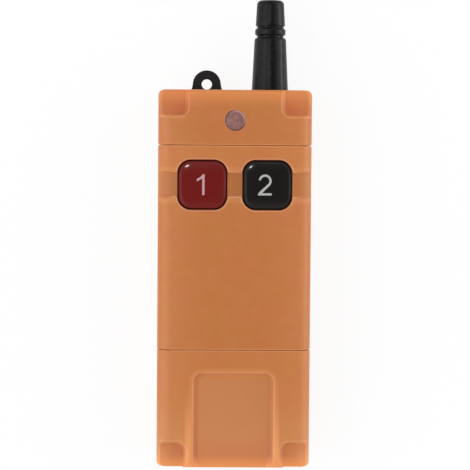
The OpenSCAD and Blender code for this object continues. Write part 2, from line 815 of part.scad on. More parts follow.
// Thumb recess of the battery cap, as sections with rounded slopes from its foot up to its head.
// The first section lies above the face, so that the head's slope starts at the face too
module thumb_recess() {
    start = slope_shares[0] * thumb_slope;
    places = concat(
        [slope_lead(thumb_d) * thumb_slope],
        [for (t = slope_shares) t * thumb_slope],
        [for (t = thumb_bend_shares) thumb_slope + t * (thumb_r - thumb_slope)],
        [for (t = thumb_runout_shares) thumb_l - runout_l + t * runout_l],
        [thumb_l + over]
    );
    skin([for (i = [len(places) - 1:-1:0])
        let (
            d = places[i],
            y = low_y + thumb_l - d,
            depth = thumb_depth(d),
            slope = thumb_slope * depth / thumb_d,
            lift = d < 0 ? over : 0,
            wall_points = [for (t = concat([slope_lead(depth)], slope_shares))
                let (dip = d < 0 ? 0 : ease(min(t, d / slope)) * depth)
                [thumb_half(t * slope, max(d, start)), y, case_t + lift + (t < 0 ? over : -dip)]]
        )
        concat(
            [for (k = [len(wall_points) - 1:-1:0]) wall_points[k]],
            [for (p = wall_points) [-p[0], p[1], p[2]]]
        )]);
}

module battery_cap() {
    y1 = low_seam_y - seam_gap;
    setback_x = half_w - pocket_w + pocket_slope;
    color(case_orange) {
        difference() {
            case_form(
                concat(low_end(low_y, end_edge_r, end_steps), high_end(y1, seam_edge_r, seam_steps)),
                edge_steps
            );
            case_core(spigot_low_y - socket_clear, y1 + over, wall);
            case_core(low_y + end_wall, y1 + over, cap_wall);
            for (x = [-1, 1]) {
                corner_pocket(x, -1, low_pocket_r);
                translate([x * (setback_x + case_w) / 2, 0, 0])
                    bar(case_w - setback_x, low_y - over, low_y + corner_setback, -over, case_t + over);
            }
            thumb_recess();
        }
        for (x = [-1, 1]) translate([x * stop_rib_x, low_y + end_wall, 0])
            bar(rib_t, -bury, battery_stop, cap_wall - bury, case_t - cap_wall + bury);
    }
}

// Threaded brass inserts in the front shell's pillars
module shell_inserts() {
    color(brass) at_pillars() translate([0, 0, part_h + insert_sink]) difference() {
        cylinder(r = insert_r, h = insert_l);
        translate([0, 0, -over]) cylinder(r = screw_d / 2 + slip / 2, h = insert_l + 2 * over);
    }
}

module shell_screws() {
    color(steel) at_pillars() translate([0, 0, screw_sink]) difference() {
        union() {
            cylinder(d = head_d, h = head_h);
            cylinder(d = screw_d, h = screw_l);
        }
        mirror([0, 0, 1]) cross_recess(head_d);
    }
}

module cap_screws() {
    color(steel) at_cap_screws() difference() {
        union() {
            cylinder(d1 = small_head_d, d2 = small_screw_d, h = cap_head_h);
            cylinder(d = small_screw_d, h = cap_screw_l);
        }
        mirror([0, 0, 1]) cross_recess(small_head_d);
    }
}

// Moulded nylon eye for a wrist cord. Its bar is trapped between the cap and the board
module lanyard_eye() {
    foot = eye_foot_w / 2;
    head = eye_d / 2;
    bar_top = -end_wall - slip;
    bar_low = board_high_y + slip - top_y;
    root = bar_top - bury;
    color(moulded_black) translate([eye_x, top_y, axis_h - eye_t / 2])
        linear_extrude(height = eye_t) difference() {
            union() {
                translate([0, eye_rise]) circle(d = eye_d);
                polygon([
                    [-foot, root], [foot, root], [foot, 0],
                    [head, eye_rise], [-head, eye_rise], [-foot, 0]
                ]);
                translate([-eye_bar_w / 2, bar_low]) square([eye_bar_w, bar_top - bar_low]);
            }
            translate([0, eye_rise]) circle(d = eye_hole_d);
        }
}

module status_lens() {
    foot = -cap_wall - slip - lens_flange_t;
    lens_r = lens_d / 2;
    flange_r = lens_r + lens_flange_over;
    face_r = lens_r - lens_round;
    color(lens_mauve) translate([0, lens_y, case_t]) rotate_extrude() polygon(concat(
        [[0, foot], [flange_r, foot], [flange_r, foot + lens_flange_t], [lens_r, foot + lens_flange_t]],
        arc(face_r, -lens_sink - lens_round, lens_round, 0, seam_steps),
        [for (t = crown_shares) [(1 - t) * face_r, lens_crown * (1 - (1 - t) * (1 - t)) - lens_sink]]
    ));
}

module status_led() {
    led_top = case_t - cap_wall - lens_flange_t - 4 * slip;
    color(button_red) translate([0, lens_y, 0]) {
        translate([0, 0, board_top]) cylinder(d = led_d + 2 * led_flange_over, h = led_flange_t);
        translate([0, 0, board_top]) cylinder(d = led_d, h = led_top - board_top - led_d / 2);
        translate([0, 0, led_top - led_d / 2]) sphere(d = led_d);
        for (x = [-1, 1]) translate([x * led_leg_pitch / 2, 0, board_h - leg_below])
            cylinder(d = led_leg_d, h = board_t + leg_below + led_flange_t);
    }
}

// Outline of the antenna's rubber cover as [radius, height above the case]
module antenna_outline() {
    tip_foot = antenna_l - antenna_tip_l;
    ring_top = tip_foot - antenna_groove_w;
    ring_foot = ring_top - antenna_ring_w;
    neck_top = ring_foot - antenna_groove_w;
    foot_r = antenna_foot_d / 2;
    neck_r = antenna_neck_d / 2;
    ring_r = antenna_ring_d / 2;
    groove_r = antenna_groove_d / 2;
    top_r = antenna_top_d / 2;
    polygon(concat(
        [[0, 0], [foot_r, 0], [neck_r, neck_top - shoulder], [neck_r - shoulder / 2, neck_top],
         [groove_r, neck_top + shoulder / 2], [groove_r, ring_foot - shoulder / 2],
         [ring_r - shoulder / 2, ring_foot], [ring_r, ring_foot + shoulder / 2],
         [ring_r, ring_top - shoulder / 2], [ring_r - shoulder / 2, ring_top],
         [groove_r, ring_top + shoulder], [groove_r, tip_foot - shoulder / 2],
         [antenna_tip_d / 2, tip_foot]],
        arc(top_r - antenna_tip_r, antenna_l - antenna_tip_r, antenna_tip_r, 0, tip_steps),
        [[0, antenna_l]]
    ));
}

module on_antenna_axis() {
    translate([antenna_x, top_y, axis_h]) rotate([-90, 0, 0]) children();
}

module antenna_sleeve() {
    barrel_top = ferrule_flange_t + ferrule_barrel_l;
    color(moulded_black) on_antenna_axis() difference() {
        rotate_extrude() antenna_outline();
        translate([0, 0, -over])
            cylinder(d = ferrule_flange_d + slip, h = over + ferrule_flange_t + slip / 2);
        cylinder(d = ferrule_barrel_d + slip, h = barrel_top + slip / 2);
        translate([0, 0, barrel_top]) cylinder(d = chamber_d, h = chamber_top_y - top_y - barrel_top);
    }
}

// Plastic rod that the aerial wire is wound on
module antenna_core() {
    barrel_top = ferrule_flange_t + ferrule_barrel_l;
    color("white") on_antenna_axis() translate([0, 0, barrel_top])
        cylinder(d = core_d, h = chamber_top_y - top_y - barrel_top - slip);
}

// Aerial wire, one unbroken helix round the core
module antenna_coil() {
    r = core_d / 2 + slip + coil_wire_d / 2;
    y0 = barrel_top_y + coil_end;
    y1 = chamber_top_y - coil_end;
    steps = coil_turns * coil_points;
    color(copper) tube(
        [for (i = [0:steps]) let (a = 360 * i / coil_points)
            [antenna_x + r * cos(a), y0 + (y1 - y0) * i / steps, axis_h + r * sin(a)]],
        [0, 1, 0], coil_wire_d / 2, coil_sides
    );
}

module antenna_ferrule() {
    tail = top_y - ferrule_low_y;
    color(brass) on_antenna_axis() difference() {
        union() {
            translate([0, 0, -tail]) cylinder(d = ferrule_d, h = tail);
            cylinder(d = ferrule_flange_d, h = ferrule_flange_t);
            cylinder(d = ferrule_barrel_d, h = ferrule_flange_t + ferrule_barrel_l);
        }
        translate([0, 0, -tail - over]) cylinder(d = ferrule_bore_d, h = tail + over + ferrule_flange_t);
    }
}

module antenna_nut() {
    color(steel) on_antenna_axis() translate([0, 0, -end_wall - nut_t]) difference() {
        cylinder(r = nut_w / 2 / cos(30), h = nut_t, $fn = 6);
        translate([0, 0, -over]) cylinder(d = ferrule_d + slip, h = nut_t + 2 * over);
    }
}

// Coaxial lead from the ferrule over the board's edge to its pad
lead_run_shares = [0, 0.2, 0.33, 0.45, 0.6, 0.78, 0.9, 0.97, 1, 1];
lead_rise_shares = [0, 0, 0.12, 0.45, 0.85, 1, 0.85, 0.6, 0.35, 0];
module antenna_lead() {
    y0 = ferrule_low_y + lead_in;
    run = lead_pad_y - y0;
    last = len(lead_run_shares) - 1;
    base = axis_h;
    color(moulded_black) tube(
        [for (i = [0:last])
            let (z = i == last ? board_top : base + (board_top + lead_hump - base) * lead_rise_shares[i])
            [antenna_x, y0 + run * lead_run_shares[i], z]],
        [1, 0, 0], lead_d / 2, lead_sides
    );
}

// A push button: domed crown, skirt with a retaining flange, and the post that meets the switch
dome_inset_shares = [0, 0.04, 0.15, 0.34, 0.62, 1, 1.6, 2.6, 4];
dome_drop_shares = [1, 0.72, 0.47, 0.25, 0.08, 0, -0.3, -0.65, -0.9];
function dome_z(i) =
    let (s = dome_drop_shares[i], rim = case_t + button_stand - crown_rise)
    s >= 0 ? rim - s * button_edge_r : rim - s * crown_rise;
module button_cap(side, shade) {
    last = len(dome_inset_shares) - 1;
    skirt_foot = flange_top - flange_t;
    half = button_w / 2;
    color(shade) translate([side * button_pitch / 2, button_y, 0]) difference() {
        union() {
            skin(concat(
                [for (i = [last:-1:0])
                    let (
                        inset = dome_inset_shares[i] * button_edge_r,
                        r = max(button_corner_r - inset, least_r)
                    )
                    [for (p = rounded(half - inset, half - inset, r, corner_steps)) [p[0], p[1], dome_z(i)]]],
                [[for (p = rounded(half, half, button_corner_r, corner_steps)) [p[0], p[1], skirt_foot]]]
            ));
            button_block(flange_over, skirt_foot, flange_top);
        }
        difference() {
            button_block(-skirt_t, skirt_foot - over, case_t + button_stand - crown_h);
            cylinder(r = post_r, h = 2 * case_t);
        }
        cylinder(r = post_r + skirt_t, h = skirt_foot);
    }
    color(shade) translate([side * button_pitch / 2, button_y, board_top + plunger_h])
        cylinder(r = post_r, h = case_t + button_stand - crown_h + bury - board_top - plunger_h);
}

// Rubber frame between the button's flange and the front shell
module button_gasket(side) {
    z1 = case_t - wall;
    color(seal_grey) translate([side * button_pitch / 2, button_y, 0]) difference() {
        button_block(gasket_over + button_gap, z1 - gasket_t, z1);
        button_block(button_gap, z1 - gasket_t - over, z1 + over);
    }
}

module at_switch(side) {
    translate([side * button_pitch / 2, button_y, board_top]) children();
}

module switch_body(side) {
    h = switch_h - switch_cover_t;
    color(moulded_black) at_switch(side) difference() {
        bar(switch_w, -switch_w / 2, switch_w / 2, 0, h);
        translate([0, 0, switch_floor]) cylinder(d = switch_well_d, h = h);
        for (turn = [0:90:270]) rotate(turn) translate([switch_w / 2, switch_w / 2, -over])
            rotate(45) bar(switch_chamfer, -switch_w / 2, switch_w / 2, 0, h + 2 * over);
    }
}

module switch_cover(side) {
    half = (switch_w - switch_chamfer) / 2;
    color(steel) at_switch(side) translate([0, 0, switch_h - switch_cover_t]) difference() {
        bar(2 * half, -half, half, 0, switch_cover_t);
        translate([0, 0, -over]) cylinder(d = cover_hole_d, h = switch_cover_t + 2 * over);
    }
}

module switch_plunger(side) {
    low = switch_floor + dome_h + slip;
    high = switch_h - switch_cover_t - slip;
    color(button_red) at_switch(side) {
        translate([0, 0, low]) cylinder(d = plunger_flange_d, h = high - low);
        translate([0, 0, low]) cylinder(d = plunger_stem_d, h = plunger_h - low);
    }
}

// Spring-steel snap disc under the plunger
module switch_dome(side) {
    r = (dome_d * dome_d / 4 + dome_h * dome_h) / (2 * dome_h);
    color(steel) at_switch(side) translate([0, 0, switch_floor]) intersection() {
        translate([0, 0, dome_h - r]) difference() {
            sphere(r = r);
            sphere(r = r - dome_t);
        }
        cylinder(d = dome_d, h = dome_h);
    }
}

module switch_legs(side) {
    color(steel) at_switch(side) for (x = [-1, 1], y = [-1, 1])
        translate([x * leg_x, y * (switch_w + leg_t) / 2, 0])
            bar(leg_w, -leg_t / 2, leg_t / 2, -board_t - leg_below, leg_above);
}

// Hole through the board, from the board's top
module board_hole(r) {
    translate([0, 0, -board_t - over]) cylinder(r = r + hole_slip, h = board_t + 2 * over);
}

module main_board() {
    color(board_green) difference() {
        bar(board_w, board_low_y, board_high_y, board_h, board_top);
        at_board_screws() translate([0, 0, board_top]) board_hole(small_screw_d / 2);
        for (side = [-1, 1], x = [-1, 1], y = [-1, 1])
            at_switch(side) translate([x * leg_x, y * (switch_w + leg_t) / 2, 0]) board_hole(leg_w / 2);
        for (x = [-1, 1]) translate([x * led_leg_pitch / 2, lens_y, board_top]) board_hole(led_leg_d / 2);
        translate([antenna_x, board_high_y, board_h])
            bar(notch_w, -notch_l, over, -over, board_t + over);
    }
}

module board_screws() {
    color(steel) at_board_screws() translate([0, 0, board_h - board_head_h]) difference() {
        union() {
            cylinder(d = small_head_d, h = board_head_h);
            cylinder(d = small_screw_d, h = board_head_h + board_t + board_screw_in);
        }
        mirror([0, 0, 1]) cross_recess(small_head_d);
    }
}

module radio_module() {
    color("#21508A") translate([0, radio_y, board_top]) bar(radio_w, -radio_l / 2, radio_l / 2, 0, radio_t);
}

module radio_shield() {
    color(steel) translate([0, radio_y, board_top + radio_t]) difference() {
        bar(shield_w, -shield_l / 2, shield_l / 2, 0, shield_h);
        translate([0, 0, -over]) bar(
            shield_w - 2 * shield_wall, -shield_l / 2 + shield_wall, shield_l / 2 - shield_wall,
            0, shield_h - shield_wall + over
        );
    }
}

module control_chip() {
    pitch = chip_l / chip_pins;
    pin_w = chip_pin_w_share * pitch;
    color(moulded_black) translate([chip_x, radio_y, board_top]) {
        bar(chip_w, -chip_l / 2, chip_l / 2, chip_pin_t, chip_t + chip_pin_t);
        for (i = [0:chip_pins - 1]) translate([0, -chip_l / 2 + pitch * (i + 0.5), 0]) {
            bar(chip_w + 2 * chip_pin_out, -pin_w / 2, pin_w / 2, 0, chip_pin_t);
            bar(chip_w + chip_pin_out, -pin_w / 2, pin_w / 2, 0, chip_pin_h);
        }
    }
}

module crystal() {
    over_w = 2 * crystal_base_over;
    color(steel) translate([crystal_x, radio_y, board_top]) {
        round_plate(crystal_w + over_w, crystal_l + over_w, (crystal_w + over_w) / 2 - slip, crystal_base_h);
        round_plate(crystal_w, crystal_l, crystal_w / 2 - slip, crystal_h);
    }
}

module power_capacitor() {
    base_w = capacitor_d + 2 * capacitor_base_over;
    color(steel) translate([capacitor_x, capacitor_y, board_top]) {
        round_plate(base_w, base_w, slip, capacitor_base_h);
        cylinder(d = capacitor_d, h = capacitor_h);
    }
}

module chip_resistors() {
    color(moulded_black) for (i = [0:resistor_count - 1])
        translate([(i - (resistor_count - 1) / 2) * resistor_pitch, resistor_y, board_top])
            bar(resistor_w, -resistor_l / 2, resistor_l / 2, 0, resistor_t);
}

module battery() {
    color("#2B3036") translate([0, battery_low_y, battery_mid_h]) rotate([-90, 0, 0])
        round_plate(battery_w, battery_t, battery_corner_r, battery_l);
}

// Snap terminals: a stud on the plus side and a crown on the minus side
module battery_terminals() {
    color(steel) translate([0, battery_top_y, battery_mid_h]) rotate([-90, 0, 0]) {
        translate([-terminal_pitch / 2, 0, 0]) cylinder(r = stud_r, h = terminal_h);
        translate([terminal_pitch / 2, 0, 0]) difference() {
            cylinder(r = stud_r + crown_wall, h = terminal_h);
            translate([0, 0, slip]) cylinder(r = stud_r + slip, h = terminal_h);
        }
    }
}

module snap_contacts() {
    reach = terminal_h - 2 * slip;
    color(brass) translate([0, plate_low_y - reach, battery_mid_h]) rotate([-90, 0, 0]) {
        translate([terminal_pitch / 2, 0, 0]) cylinder(r = stud_r, h = reach);
        translate([-terminal_pitch / 2, 0, 0]) difference() {
            cylinder(r = stud_r + crown_wall, h = reach);
            translate([0, 0, -over]) cylinder(r = stud_r + slip, h = reach + over - slip / 2);
        }
    }
}

module snap_plate() {
    color(board_green) bar(battery_w, plate_low_y, plate_top_y, battery_h0, battery_h0 + battery_t - bury);
}

// Trough that holds the battery, screwed to the rear shell by its two lugs
module battery_cradle() {
    inner_w = battery_w + 2 * slip;
    outer_w = inner_w + 2 * cradle_wall;
    outlet_w = inner_w - 2 * cradle_wall; // opening in the end wall for the leads
    color(moulded_black) difference() {
        union() {
            bar(outer_w, cradle_low_y, cradle_top_y, cradle_h0, cradle_h0 + cradle_floor + cradle_side_h);
            bar(2 * lug_x + lug_w, lug_y - lug_l / 2, lug_y + lug_l / 2, lug_h, lug_h + lug_t);
        }
        bar(inner_w, cradle_low_y - over, plate_top_y + slip, cradle_h0 + cradle_floor, case_t);
        bar(outlet_w, cradle_low_y, cradle_top_y + over, battery_lead_h - battery_lead_d, case_t);
        at_lugs() translate([0, 0, lug_h - over])
            cylinder(r = small_screw_d / 2 + slip, h = lug_t + 2 * over);
    }
}

module cradle_screws() {
    color(steel) at_lugs() translate([0, 0, lug_h + lug_t]) mirror([0, 0, 1]) difference() {
        union() {
            translate([0, 0, -lug_head_h]) cylinder(d = small_head_d, h = lug_head_h);
            translate([0, 0, -lug_head_h]) cylinder(d = small_screw_d, h = lug_screw_l);
        }
        translate([0, 0, -lug_head_h]) mirror([0, 0, 1]) cross_recess(small_head_d);
    }
}

// Two insulated wires from the snap plate up to the board's underside
module battery_leads() {
    color(button_red) for (x = [-1, 1]) tube(
        [for (i = [0:len(battery_lead_run_shares) - 1])
            [x * terminal_pitch / 2,
             plate_top_y + battery_lead_run * battery_lead_run_shares[i],
             battery_lead_h + (board_h - battery_lead_h) * battery_lead_rise_shares[i]]],
        [1, 0, 0], battery_lead_d / 2, lead_sides
    );
}

front_shell();
rear_shell();
side_seals();
top_cap();
spigot_seal(high_groove_y);  // top_cap_seal
battery_cap();
spigot_seal(low_groove_y);  // battery_cap_seal
shell_inserts();
shell_screws();
cap_screws();
lanyard_eye();
status_lens();
status_led();
antenna_sleeve();
antenna_core();
antenna_coil();
antenna_ferrule();
antenna_nut();
antenna_lead();
button_cap(-1, button_red);  // button_1_cap
button_cap(1, button_black);  // button_2_cap
button_gasket(-1);  // button_1_gasket
button_gasket(1);  // button_2_gasket
switch_body(-1);  // switch_1_body
switch_cover(-1);  // switch_1_cover
switch_plunger(-1);  // switch_1_plunger
switch_dome(-1);  // switch_1_dome
switch_legs(-1);  // switch_1_legs
switch_body(1);  // switch_2_body
switch_cover(1);  // switch_2_cover
switch_plunger(1);  // switch_2_plunger
switch_dome(1);  // switch_2_dome
switch_legs(1);  // switch_2_legs
main_board();
board_screws();
radio_module();
radio_shield();
control_chip();
crystal();
power_capacitor();
chip_resistors();
battery();
battery_terminals();
battery_cradle();
cradle_screws();
snap_plate();
snap_contacts();
battery_leads();
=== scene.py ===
# The visible model of a hand-held industrial radio remote control, made round its CAD frame.
# It lies on its back: X is the width, Y runs towards the antenna, Z rises to the buttons. Metres.
import math

import bmesh
import bpy
from mathutils import Euler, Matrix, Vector
from mathutils.bvhtree import BVHTree


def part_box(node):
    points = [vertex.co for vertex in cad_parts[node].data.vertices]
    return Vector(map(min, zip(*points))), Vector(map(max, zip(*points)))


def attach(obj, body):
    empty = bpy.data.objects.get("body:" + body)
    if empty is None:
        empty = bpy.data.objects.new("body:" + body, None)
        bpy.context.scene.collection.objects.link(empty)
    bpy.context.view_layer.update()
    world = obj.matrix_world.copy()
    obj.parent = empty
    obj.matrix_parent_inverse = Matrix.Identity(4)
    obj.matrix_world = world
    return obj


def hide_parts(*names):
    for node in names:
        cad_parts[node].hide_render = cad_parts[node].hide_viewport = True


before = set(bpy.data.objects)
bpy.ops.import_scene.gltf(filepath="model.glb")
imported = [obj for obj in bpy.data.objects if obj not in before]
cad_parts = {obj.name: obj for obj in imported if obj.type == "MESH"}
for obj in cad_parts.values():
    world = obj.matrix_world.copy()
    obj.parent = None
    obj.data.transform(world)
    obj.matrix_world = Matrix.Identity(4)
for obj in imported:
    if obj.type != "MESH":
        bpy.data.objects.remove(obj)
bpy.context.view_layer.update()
MM = 0.001

# The camera of the product photograph: a long lens almost straight above the front face.
# It stands a little to the left and towards the antenna, and is tilted back to the middle by 3 degrees.
camera_data = bpy.data.cameras.new("photo_camera")
camera_data.sensor_width = 36
camera_data.lens = 146.45
camera = bpy.data.objects.new("photo_camera", camera_data)
camera.location = Vector((-12.2, 50.6, 700)) * MM
camera.rotation_euler = Euler([math.radians(angle) for angle in (-2.96, -1.03, 0.43)])
bpy.context.scene.collection.objects.link(camera)
bpy.context.scene.camera = camera
bpy.context.scene.view_settings.view_transform = "Standard"


# The studio: a seamless white table that the remote lies on, and a white room with a dark ceiling.
# The table is white to the camera, keeps the remote's soft shadow, and is open from below.
class Socket:
    """An output in a node tree. Arithmetic on it adds the Math nodes that work it out."""

    def __init__(self, shading, link):
        self.shading, self.link = shading, link

    def maths(self, operation, first, second):
        return self.shading.maths(operation, first, second)

    def __add__(self, other):
        return self.maths("ADD", self, other)

    def __sub__(self, other):
        return self.maths("SUBTRACT", self, other)

    def __rsub__(self, other):
        return self.maths("SUBTRACT", other, self)

    def __mul__(self, other):
        return self.maths("MULTIPLY", self, other)

    def __gt__(self, other):
        return self.maths("GREATER_THAN", self, other)

    def __abs__(self):
        return self.maths("ABSOLUTE", self, 0.0)

    __radd__, __rmul__ = __add__, __mul__

    def beyond(self, other):
        """The distance from a corner where both are nothing, counted only where they are above it."""
        first, second = self.maths("MAXIMUM", self, 0.0), self.maths("MAXIMUM", other, 0.0)
        return self.maths("SQRT", first * first + second * second, 0.0)


class Shading:
    """The node tree of a material or of the world, and the nodes that are added to it."""

    def __init__(self, tree):
        self.tree = tree

    def add(self, kind, settings=None, inputs=None, output=0):
        """Adds a node and gives one of its outputs, by name or place."""
        node = self.tree.nodes.new(kind)
        for name, value in (settings or {}).items():
            if name == "stops":
                self.set_stops(node.color_ramp, value)
            else:
                setattr(node, name, value)
        for name, value in (inputs or {}).items():
            self.feed(node.inputs[name], value)
        return Socket(self, node.outputs[output]) if node.outputs else None

    def feed(self, target, value):
        if isinstance(value, Socket):
            self.tree.links.new(value.link, target)
        else:
            target.default_value = value

    def set_stops(self, ramp, stops):
        while len(ramp.elements) < len(stops):
            ramp.elements.new(0.5)
        for element, (place, colour) in zip(ramp.elements, stops):
            element.position = place
            element.color = colour

    def maths(self, operation, first, second):
        return self.add("ShaderNodeMath", {"operation": operation}, {0: first, 1: second})

    def mix(self, factor, first, second):
        settings = {"data_type": "RGBA"}
        return self.add("ShaderNodeMix", settings, {0: factor, 6: first, 7: second}, 2)

    def rise(self, value, start, end):
        """A soft step from 0 at start to 1 at end. With start above end it falls instead."""
        settings = {"interpolation_type": "SMOOTHSTEP"}
        if start < end:
            return self.add("ShaderNodeMapRange", settings, {0: value, 1: start, 2: end})
        return 1.0 - self.rise(value, end, start)


def paint(red, green, blue):
    """A colour from its 0 to 255 screen values, as the linear colour that shaders use."""
    shares = [value / 255 for value in (red, green, blue)]
    linear = [((share + 0.055) / 1.055) ** 2.4 if share > 0.04045 else share / 12.92 for share in shares]
    return (*linear, 1.0)


white, table_white = paint(255, 255, 255), paint(235, 235, 235)
table_drop, table_reach = 0.3 * MM, 12
shadow_share, shadow_reach = 0.1, 0.14
table_mesh = bpy.data.meshes.new("studio_table")
sheet = bmesh.new()
bmesh.ops.create_circle(sheet, cap_ends=True, segments=3, radius=table_reach)
bmesh.ops.translate(sheet, vec=(0, 0, -table_drop), verts=sheet.verts)
sheet.to_mesh(table_mesh)
sheet.free()
table = bpy.data.objects.new("studio_table", table_mesh)
bpy.context.scene.collection.objects.link(table)
table_paint = bpy.data.materials.new("studio_white")
table_paint.use_nodes = True
table_paint.node_tree.nodes.clear()
table_shading = Shading(table_paint.node_tree)


def seen_through(shading):
    """1 for the rays that see the studio in its full white: the camera's, glossy and reflected ones."""
    kinds = ("Is Camera Ray", "Is Glossy Ray", "Is Reflection Ray")
    rays = [shading.add("ShaderNodeLightPath", None, None, kind) for kind in kinds]
    return shading.maths("MINIMUM", rays[0] + rays[1] + rays[2], 1.0)


table_place = table_shading.add("ShaderNodeTexCoord", None, None, "Object")
table_distance = table_shading.add(
    "ShaderNodeVectorMath", {"operation": "LENGTH"}, {0: table_place}, "Value"
)
near = table_shading.rise(table_distance, 2.6 * shadow_reach, shadow_reach)
table_matt = table_shading.add("ShaderNodeBsdfDiffuse", None, {"Color": table_white})
table_glow = table_shading.add("ShaderNodeEmission", None, {"Color": white, "Strength": 1.0})
table_shade = table_shading.add("ShaderNodeBsdfDiffuse", None, {"Color": white})
table_seen = table_shading.add(
    "ShaderNodeMixShader", None, {0: near * shadow_share, 1: table_glow, 2: table_shade}
)
table_top = table_shading.add(
    "ShaderNodeMixShader", None, {0: seen_through(table_shading), 1: table_matt, 2: table_seen}
)
table_back = table_shading.add("ShaderNodeNewGeometry", None, None, "Backfacing")
table_open = table_shading.add("ShaderNodeBsdfTransparent")
table_shader = table_shading.add(
    "ShaderNodeMixShader", None, {0: table_back, 1: table_top, 2: table_open}
)
table_shading.add("ShaderNodeOutputMaterial", None, {"Surface": table_shader})
table_mesh.materials.append(table_paint)

world = bpy.data.worlds.new("studio_room")
bpy.context.scene.world = world
world.use_nodes = True
world.node_tree.nodes.clear()
room = Shading(world.node_tree)
room_direction = room.add("ShaderNodeTexCoord", None, None, "Generated")
room_height = room.add("ShaderNodeSeparateXYZ", None, {0: room_direction}, "Z")
room_camera = room.add("ShaderNodeLightPath", None, None, "Is Camera Ray")
walls, ceiling, overhead = paint(204, 204, 204), paint(94, 94, 96), paint(60, 60, 62)
wall_top, ceiling_edge, overhead_edge = 0.4, 0.9, 0.975
room_stops = [
    (0.0, walls), (wall_top, walls), (ceiling_edge, ceiling), (overhead_edge, ceiling), (1.0, overhead),
]
room_tone = room.add("ShaderNodeValToRGB", {"stops": room_stops}, {0: room_height})
room_light = room.add("ShaderNodeBackground", None, {"Color": room_tone, "Strength": 1.0})
room_white = room.add("ShaderNodeBackground", None, {"Color": white, "Strength": 1.0})
wall_seen = seen_through(room) * room.rise(room_height, ceiling_edge, wall_top)
room_seen = room.maths("MAXIMUM", room_camera, wall_seen)
room_shader = room.add("ShaderNodeMixShader", None, {0: room_seen, 1: room_light, 2: room_white})
room.add("ShaderNodeOutputWorld", None, {"Surface": room_shader})


# The lamps: a wide soft box at the left, a fainter one at the upper right, two strips that draw
# soft lines of light along the antenna, a round lamp that is the white spot on each button, and
# a low strip that is the faint band along the buttons' lower edge.
def add_lamp(name, place, size, power, height=None):
    """An area lamp that points at the origin: a disc, or with a height a rectangle."""
    data = bpy.data.lights.new(name, "AREA")
    data.shape = "RECTANGLE" if height else "DISK"
    data.size = size
    data.size_y = height or size
    data.energy = power
    lamp = bpy.data.objects.new(name, data)
    lamp.location = place
    lamp.rotation_euler = (-Vector(place)).to_track_quat("-Z", "Y").to_euler()
    bpy.context.scene.collection.objects.link(lamp)


add_lamp("wide_soft_box", (-1.3, -0.6, 1.15), 2.2, 14.6)
add_lamp("far_soft_box", (0.95, 0.6, 0.7), 1.0, 2.5)
add_lamp("left_strip", (-0.6, 0.1, 0.85), 0.8, 1.3, 0.12)
add_lamp("right_strip", (1.05, 0.1, 0.14), 0.8, 3.6, 0.12)
add_lamp("round_lamp", (-0.15, 0.26, 1.0), 0.13, 0.95)
add_lamp("low_strip", (0.0, -0.26, 1.0), 0.6, 0.07, 0.24)


# The case: front and back shell, top cap and battery cap, all moulded in the same orange nylon.
# The plastic is waxy and lets a little light in. Its colour also holds painted light: painted highlights
# on edges, painted shade that makes hollows redder, and painted light on flanks and ends.
class Finish(Shading):
    """A material that is made of one principled shader. What varies over it is worked out by nodes."""

    def __init__(self, name, colour, roughness, settings=None):
        self.material = bpy.data.materials.new(name)
        self.material.use_nodes = True
        super().__init__(self.material.node_tree)
        self.shader = self.tree.nodes["Principled BSDF"]
        self.shader.inputs["Base Color"].default_value = colour
        self.shader.inputs["Roughness"].default_value = roughness
        for setting, value in (settings or {}).items():
            self.shader.inputs[setting].default_value = value
        self.place = self.add("ShaderNodeTexCoord", None, None, "Object")

    def noise(self, size, detail=2.0, stretch=(1, 1, 1)):
        """Cloudy values from 0 to 1, with clouds of about that size in metres."""
        scale = [1 / (size * part) for part in stretch]
        place = self.add("ShaderNodeMapping", None, {"Vector": self.place, "Scale": scale})
        return self.add("ShaderNodeTexNoise", None, {"Vector": place, "Scale": 1.0, "Detail": detail})

    def along(self, axis, source=None):
        """The X, Y or Z of a point on the surface, in metres, or of another vector."""
        return self.add("ShaderNodeSeparateXYZ", None, {0: source or self.place}, axis)

    def set(self, socket, value):
        self.feed(self.shader.inputs[socket], value)

    def relief(self, height, depth):
        """Bump of the given depth in metres for a height from 0 to 1."""
        bump = self.add("ShaderNodeBump", None, {"Height": height, "Distance": depth, "Strength": 1.0})
        self.set("Normal", bump)


def dress(finish, *nodes):
    """Gives a finish to CAD nodes that are shown as they are."""
    for name in nodes:
        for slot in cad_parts[name].material_slots:
            slot.material = finish.material


same_place, cell_shift = 0.001 * MM, 0.37
flat_limit, crease_limit = math.radians(0.3), math.radians(34)
width_axis, length_axis = Vector((1, 0, 0)), Vector((0, 1, 0))


def cut_across(shape, axis, places):
    """Cuts a bmesh right through at each place, square to the axis. Nothing is taken away."""
    for place in places:
        everything = shape.verts[:] + shape.edges[:] + shape.faces[:]
        bmesh.ops.bisect_plane(shape, geom=everything, dist=same_place, plane_co=place, plane_no=axis)


